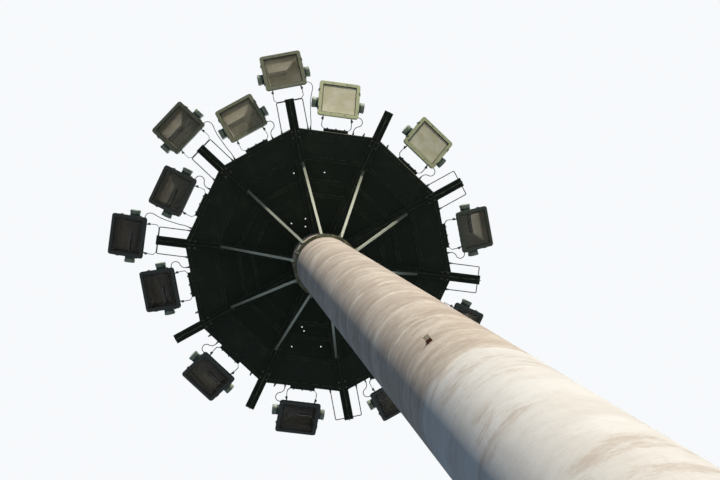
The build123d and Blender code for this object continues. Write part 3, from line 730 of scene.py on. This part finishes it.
def bar(size, place):
    """A block with edges eased by a millimetre."""
    bm = bmesh.new()
    bmesh.ops.create_cube(bm, size=1.0)
    bmesh.ops.scale(bm, vec=size, verts=bm.verts)
    bmesh.ops.bevel(bm, geom=bm.edges[:], offset=0.001, segments=2, affect="EDGES", profile=0.5, material=-1)
    bmesh.ops.transform(bm, matrix=place, verts=bm.verts)
    return bm


def hexagon(across, height, place=Matrix()):
    """A hexagon head or nut with its corners turned off."""
    bm = bmesh.new()
    raised = Matrix.Translation((0, 0, height / 2))
    radius = across / 2
    bmesh.ops.create_cone(
        bm, cap_ends=True, segments=6, radius1=radius, radius2=radius, depth=height, matrix=raised
    )
    top = [e for e in bm.edges if all(v.co.z > 0.9 * height for v in e.verts)]
    bmesh.ops.bevel(bm, geom=top, offset=0.1 * across, segments=2, affect="EDGES", profile=0.5, material=-1)
    bmesh.ops.transform(bm, matrix=place, verts=bm.verts)
    return bm


def bolt(across, head, washer, shank=0.0, grip=0.0):
    """A hexagon bolt on its washer, its head towards Z.

    With a shank, a nut and washer and the shank's end stand out beyond the grip.
    """
    thick = 0.0022
    bm = turned([(0, 0), (washer, 0), (washer, 0.0015), (washer - 0.0007, thick), (0, thick)], 18)
    join(bm, hexagon(across, head), [Matrix.Translation((0, 0, thick))])
    if shank:
        under = Matrix.Translation((0, 0, -grip))
        thread, tip = across * 0.29, across * 0.24
        end = [(0, 0), (thread, 0), (thread, -shank + 0.001), (tip, -shank), (0, -shank)]
        join(bm, turned(end, 14), [under])
        join(bm, hexagon(across, head, OVER), [under @ Matrix.Translation((0, 0, -thick))])
        join(bm, turned([(0, 0), (washer, 0), (washer, -thick), (0, -thick)], 18), [under])
    return bm


# Cables
CABLE_RADIUS = 0.005
SLEEVE_LENGTH = 0.026
SLEEVE_RADIUS = 0.0088
SLEEVE_TAPER = 0.0031
SLEEVE_END = 0.0057

# The routes of the part's source, about each pivot: X outwards, Y round, Z up
RIM_ROUTE = [
    (0.0620, 0.240, 0.03285),
    (0.0620, 0.282, 0.03285),
    (0.036, 0.316, 0.027),
    (-0.008, 0.325, 0.017),
    (-0.047, 0.300, 0.008),
    (-0.058, 0.256, 0.002),
    (-0.097, 0.222, -0.003),
    (-0.1412, 0.222, -0.003),
]
SPOKE_ROUTE = [
    (0.0620, 0.240, 0.03285),
    (0.0620, 0.282, 0.03285),
    (0.032, 0.319, 0.0248),
    (-0.028, 0.324, 0.010),
    (-0.100, 0.288, 0.000),
    (-0.188, 0.262, -0.006),
    (-0.284, 0.244, -0.010),
    (-0.374, 0.226, -0.008),
    (-0.4459, 0.2231, -0.003),
    (-0.5124, 0.2015, -0.003),
]


def route_line(points):
    """Points along the smooth line that the route's points steer."""
    curve = bpy.data.curves.new("route", "CURVE")
    curve.dimensions = "3D"
    spline = curve.splines.new("NURBS")
    spline.points.add(len(points) - 1)
    for point, co in zip(spline.points, points):
        point.co = (*co, 1.0)
    spline.order_u = 3
    spline.use_endpoint_u = True
    spline.resolution_u = 10
    holder = bpy.data.objects.new("route", curve)
    bpy.context.collection.objects.link(holder)
    mesh = bpy.data.meshes.new_from_object(holder)
    line = [v.co.copy() for v in mesh.vertices]
    bpy.data.objects.remove(holder)
    bpy.data.meshes.remove(mesh)
    bpy.data.curves.remove(curve)
    return line


def tube(line, radii, around=12):
    """A closed round tube along a line, made by drawing rings along it."""
    bm = bmesh.new()
    normal = Vector((0, 0, 1))
    last = None
    for index, here in enumerate(line):
        following = line[min(index + 1, len(line) - 1)]
        before = line[max(index - 1, 0)]
        along = (following - before).normalized()
        normal = (normal - along * normal.dot(along)).normalized()
        place = Matrix((normal, along.cross(normal), along)).transposed().to_4x4()
        place.translation = here
        at_end = index in (0, len(line) - 1)
        ring = bmesh.ops.create_circle(
            bm, cap_ends=at_end, segments=around, radius=radii[index], matrix=place
        )
        edges = list({e for v in ring["verts"] for e in v.link_edges})
        if last:
            bmesh.ops.bridge_loops(bm, edges=last + edges)
        last = edges
    bmesh.ops.recalc_face_normals(bm, faces=bm.faces)
    return bm


def strain_relief(line):
    """A tapered sleeve round the cable where it leaves a gland."""
    kept = [line[0]]
    radii = [SLEEVE_RADIUS]
    run = 0.0
    for here, following in zip(line, line[1:]):
        run += (following - here).length
        kept.append(following)
        radii.append(max(SLEEVE_END, SLEEVE_RADIUS - SLEEVE_TAPER * run / SLEEVE_LENGTH))
        if run >= SLEEVE_LENGTH:
            break
    return tube(kept, radii, 14)


for number, (azimuth, radius) in enumerate(LAMPS, start=1):
    on_rim = radius == RIM_PIVOT
    line = [station(azimuth, radius) @ point for point in route_line(RIM_ROUTE if on_rim else SPOKE_ROUTE)]
    sheath = PALE_SHEATH if number == 11 else SHEATH
    flex = mesh_object(f"flex_{number:02d}", tube(line, [CABLE_RADIUS] * len(line)), sheath, crease=50)
    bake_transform(flex)
    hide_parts(f"cable_{number:02d}")
    ends = join(strain_relief(line), strain_relief(line[::-1]))
    sleeve = mesh_object(f"strain_relief_{number:02d}", ends, PLASTIC, crease=40)
    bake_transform(sleeve)


# Inside and round each floodlight


def reflector():
    """A tray folded from flat strips behind the glass, with slanted ends."""
    radius, centre, half_length, slant = 0.222, -0.101, 0.208, 0.022
    bm = bmesh.new()
    fold = []
    for degrees in (17, 38, 66, 80, 95, 110, 126, 144, 163):
        turn = math.radians(degrees)
        fold.append((FRONT_MIDDLE + radius * math.cos(turn), centre + radius * math.sin(turn)))
    line = [bm.verts.new((x, -half_length, z)) for x, z in fold]
    edges = [bm.edges.new(pair) for pair in zip(line, line[1:])]
    drawn = bmesh.ops.extrude_edge_only(bm, edges=edges)
    far = [g for g in drawn["geom"] if isinstance(g, bmesh.types.BMVert)]
    bmesh.ops.translate(bm, verts=far, vec=(0, 2 * half_length, 0))
    for side in (-1, 1):
        end = sorted((v for v in bm.verts if v.co.y * side > 0), key=lambda v: v.co.x)
        bmesh.ops.contextual_create(bm, geom=end)
        deep = [v for v in end if v.co.z > 0]
        bmesh.ops.translate(bm, verts=deep, vec=(0, -slant * side, 0))
    bmesh.ops.recalc_face_normals(bm, faces=bm.faces)
    bmesh.ops.solidify(bm, geom=bm.faces[:], thickness=0.0012)
    return bm


def bulb():
    """A slim discharge lamp, lying across the tray."""
    profile = [(0, -0.085), (0.017, -0.083), (0.021, -0.06), (0.023, 0.0)]
    profile += [(0.023, 0.10), (0.017, 0.122), (0, 0.130)]
    across = Matrix.Translation((FRONT_MIDDLE, -0.085, BULB_LEVEL)) @ ALONG_Y
    return join(bmesh.new(), turned(profile, 24), [across])


def bulb_holder():
    """The cup that the bulb stands in, on a plate."""
    profile = [(0, -0.022), (0.024, -0.022), (0.027, -0.018), (0.027, 0.022), (0.022, 0.028), (0, 0.028)]
    across = Matrix.Translation((FRONT_MIDDLE, -0.160, BULB_LEVEL)) @ ALONG_Y
    bm = join(bmesh.new(), turned(profile, 24), [across])
    plate = bar((0.05, 0.004, 0.06), Matrix.Translation((FRONT_MIDDLE, -0.1835, BULB_LEVEL)))
    return join(bm, plate)


def front_fittings():
    """Two over-centre clips on each side edge and four screws in the front frame."""
    bm = bmesh.new()
    for side in (-1, 1):
        for along in (0.122, 0.396):
            join(bm, bar((0.030, 0.0035, 0.040), Matrix.Translation((along, side * 0.2625, -0.038))))
            join(bm, bar((0.030, 0.014, 0.003), Matrix.Translation((along, side * 0.2555, -0.0567))))
            catch = turned([(0, -0.015), (0.004, -0.015), (0.004, 0.015), (0, 0.015)], 12)
            join(bm, catch, [Matrix.Translation((along, side * 0.2655, -0.021)) @ ALONG_X])
    spots = [(0.04, -0.09), (0.04, 0.09), (0.504, -0.09), (0.504, 0.09)]
    screw = turned([(0, 0), (0.0062, 0), (0.0062, 0.0012), (0.0045, 0.0028), (0, 0.0032)], 14)
    return join(bm, screw, [Matrix.Translation((x, y, -0.0549)) @ OVER for x, y in spots])


def back_fittings():
    """Washers on the pivots, six screws round each drum cap and the gland's nut."""
    drum_along, drum_back, drum_reach, screw_circle = 0.25, 0.045, 0.332, 0.05
    hole, edge, inner, outer = 0.0083, 0.0168, 0.0001, 0.0004
    washer = [(hole, inner), (edge, inner), (edge, outer), (hole, outer), (hole, inner)]
    bm = bmesh.new()
    for side in (-1, 1):
        sideways = Matrix.Rotation(-side * math.pi / 2, 4, "X")
        join(bm, turned(washer), [Matrix.Translation((0, side * 0.19, 0)) @ sideways])
        spots = []
        for k in range(6):
            angle = k * math.pi / 3 + 0.3
            along = drum_along + screw_circle * math.cos(angle)
            back = drum_back + screw_circle * math.sin(angle)
            spots.append(Matrix.Translation((along, side * drum_reach, back)) @ sideways)
        join(bm, turned([(0, 0), (0.0042, 0), (0.0042, 0.0010), (0.003, 0.0022), (0, 0.0026)], 10), spots)
    return join(bm, hexagon(0.030, 0.006), [Matrix.Translation((0.070, 0.225, -0.005)) @ ALONG_Y])


def seal():
    """The dark gasket line inside the front frame, round the glass."""
    length, width, border, thick = 0.4176, 0.4296, 0.009, 0.0024
    bm = bmesh.new()
    sheet = Matrix.Translation((FRONT_MIDDLE, 0, -0.0475)) @ Matrix.Diagonal((length, width, 1, 1))
    bmesh.ops.create_grid(bm, x_segments=1, y_segments=1, size=0.5, matrix=sheet)
    middle = bm.faces[:]
    bmesh.ops.inset_region(bm, faces=middle, thickness=border, use_boundary=True, use_even_offset=True)
    bmesh.ops.delete(bm, geom=middle, context="FACES_ONLY")
    drawn = bmesh.ops.extrude_face_region(bm, geom=bm.faces[:])
    moved = [g for g in drawn["geom"] if isinstance(g, bmesh.types.BMVert)]
    bmesh.ops.translate(bm, verts=moved, vec=(0, 0, thick))
    bmesh.ops.recalc_face_normals(bm, faces=bm.faces)
    return bm


for number in range(1, len(LAMPS) + 1):
    for label, maker, slot_name, used in (
        ("reflector", reflector, "lamp_paint", reflector_sheet(number)),
        ("bulb", bulb, "lamp_glass", MILKY),
        ("bulb_holder", bulb_holder, "lamp_paint", CERAMIC),
        ("front_fittings", front_fittings, "galvanised", BOLT),
        ("back_fittings", back_fittings, "galvanised", BOLT),
        ("seal", seal, "black_plastic", RUBBER),
    ):
        bm = maker()
        bmesh.ops.transform(bm, matrix=lamp_place(number), verts=bm.verts)
        piece(f"{label}_{number:02d}", bm, f"floodlight_{number:02d}", used)


# Fastenings on the platform

# through each yoke's base: three into the rim, or two into the upright plate on a spoke
yoke_bases = []
for azimuth, radius in LAMPS:
    spread = (-0.11, 0.0, 0.11) if radius == RIM_PIVOT else (-0.035, 0.035)
    for across in spread:
        yoke_bases.append(station(azimuth, 0) @ facing((radius - YOKE_FACE, across, 0), (1, 0, 0)))
many("yoke_bolts", bolt(across=0.022, head=0.009, washer=0.014), yoke_bases)

# one at each end of each strut
strut_ends = []
for k in range(SIDES):
    for radius, level in ((STRUT_FOOT, COLLAR_LEVEL), (STRUT_HEAD, RIM_LEVEL - 0.04)):
        strut_ends.append(turned_about(k * STEP) @ facing((radius, 0.010, level), (0, 1, 0)))
many("strut_bolts", bolt(across=0.021, head=0.008, washer=0.013, shank=0.016, grip=0.015), strut_ends)

# two at each joint between the strut collar's halves
clamp_ends = []
for degrees in (-54, 126):
    for rise in (-0.035, 0.035):
        ear = facing((COLLAR_RADIUS + 0.028, 0.016, COLLAR_LEVEL + rise), (0, 1, 0))
        clamp_ends.append(turned_about(math.radians(degrees)) @ ear)
many("clamp_bolts", bolt(across=0.021, head=0.008, washer=0.013, shank=0.018, grip=0.032), clamp_ends)

# four under each beam by the rim, with their heads down
beam_ends = []
for k in range(SIDES):
    for radius in (1.645, 1.570):
        for across in (-0.038, 0.038):
            under = facing((radius, across, RIM_LEVEL - 0.010), (0, 0, -1), (1, 0, 0))
            beam_ends.append(turned_about(k * STEP) @ under)
many("beam_bolts", bolt(across=0.019, head=0.007, washer=0.012), beam_ends)

# four on the foot plate of each guard post
post_feet = []
for k in range(SIDES):
    for along in (-0.037, 0.037):
        for across in (-0.037, 0.037):
            foot = Matrix.Translation((POST_CORNER + along, across, DECK_TOP + 0.008))
            post_feet.append(turned_about(k * STEP) @ foot)
many("post_bolts", bolt(across=0.017, head=0.007, washer=0.011), post_feet)

# two beside each spoke, on the rods and studs that stand out from the rim
rim_face = (RIM_APOTHEM - ROD_HALF_SPACING * math.sin(HALF)) / math.cos(HALF)
rod_ends = []
for k in range(SIDES):
    for side in (-1, 1):
        end = facing((rim_face + 0.0235, side * ROD_HALF_SPACING, RIM_LEVEL + 0.006), (1, 0, 0))
        rod_ends.append(turned_about(k * STEP) @ end)
many("rod_nuts", hexagon(0.024, 0.010), rod_ends)

# one round each cable gland, on the outer face of a rim side
gland_ends = []
for azimuth, radius in LAMPS:
    on_rim = radius == RIM_PIVOT
    rim_side = azimuth if on_rim else azimuth + HALF
    across = 0.222 if on_rim else -0.320
    gland = facing((RIM_APOTHEM, across, RIM_LEVEL + 0.032), (1, 0, 0))
    gland_ends.append(turned_about(rim_side) @ gland)
many("gland_nuts", hexagon(0.029, 0.007), gland_ends, PLASTIC)

# rows of screws along the edges of the deck's plates, each row at its distance from the axis
plate_screws = []
for k in range(SIDES):
    for apothem in (0.795, 0.821, 0.986, 1.248, 1.274, 1.585):
        reach = apothem * math.tan(HALF) - 0.05
        count = 3 if apothem < 1.1 else 5
        for n in range(count):
            across = -reach + 2 * reach * n / (count - 1)
            spot = Matrix.Translation((apothem, across, DECK_TOP))
            plate_screws.append(turned_about(HALF + k * STEP) @ spot)
screw = turned([(0, 0), (0.006, 0), (0.006, 0.001), (0.004, 0.0025), (0, 0.003)], 8)
many("deck_screws", screw, plate_screws)


# The service door's fittings


def door_fittings():
    """Hinge knuckles on one edge and a three-sided key boss in each lock."""
    bm = bmesh.new()
    edge = DOOR_AZIMUTH - DOOR_HALF_WIDTH / mast_radius(DOOR_SILL)
    for level in LOCK_LEVELS:
        knuckle = turned([(0, -0.03), (0.008, -0.03), (0.008, 0.03), (0, 0.03)], 14)
        join(bm, knuckle, [station(edge, mast_radius(level) + 0.009, level)])
    for level in LOCK_LEVELS:
        boss = turned([(0, 0), (0.006, 0), (0.005, 0.004), (0, 0.004)], 3)
        lock_face = facing((mast_radius(DOOR_SILL) + 0.0122, 0, level), (1, 0, 0))
        join(bm, boss, [turned_about(DOOR_AZIMUTH) @ lock_face])
    return bm


piece("door_fittings", door_fittings(), "tower", BOLT)

# Floor and backdrop

# Both look pale to the camera, and throw little light on the platform's underside.
floor_mesh = bpy.data.meshes.new("floor")
bm = bmesh.new()
bmesh.ops.create_circle(bm, cap_ends=True, segments=96, radius=180.0)
bm.to_mesh(floor_mesh)
bm.free()
floor = bpy.data.objects.new("floor", floor_mesh)
bpy.context.collection.objects.link(floor)
floor_finish, floor_tree, floor_shader = finish("floor", roughness=0.9, specular=0.2)
floor_light = put(floor_tree, "ShaderNodeLightPath").outputs
floor_seen = sums(floor_tree, "MAXIMUM", floor_light["Is Camera Ray"], floor_light["Is Glossy Ray"])
floor_colour = blended(floor_tree, floor_seen, (0.19, 0.19, 0.19), (0.80, 0.80, 0.79))
floor_tree.links.new(floor_colour, floor_shader.inputs["Base Color"])
floor_shader.inputs["Emission Color"].default_value = (0.95, 0.97, 1.0, 1.0)
floor_tree.links.new(both(floor_tree, floor_seen, 0.30), floor_shader.inputs["Emission Strength"])
floor_mesh.materials.append(floor_finish)

world = bpy.data.worlds.new("studio")
world.use_nodes = True
bpy.context.scene.world = world
sky_tree = world.node_tree
sky_tree.nodes.clear()
light_path = put(sky_tree, "ShaderNodeLightPath").outputs
seen = sums(sky_tree, "MAXIMUM", light_path["Is Camera Ray"], light_path["Is Transmission Ray"])
fill = put(sky_tree, "ShaderNodeBackground", {"Color": (0.38, 0.64, 1.0, 1.0), "Strength": 0.25})
shown = put(sky_tree, "ShaderNodeBackground", {"Color": (0.93, 0.95, 0.97, 1.0), "Strength": 1.0})
choice = put(sky_tree, "ShaderNodeMixShader", {0: seen, 1: fill.outputs[0], 2: shown.outputs[0]})
put(sky_tree, "ShaderNodeOutputWorld", {"Surface": choice.outputs[0]})
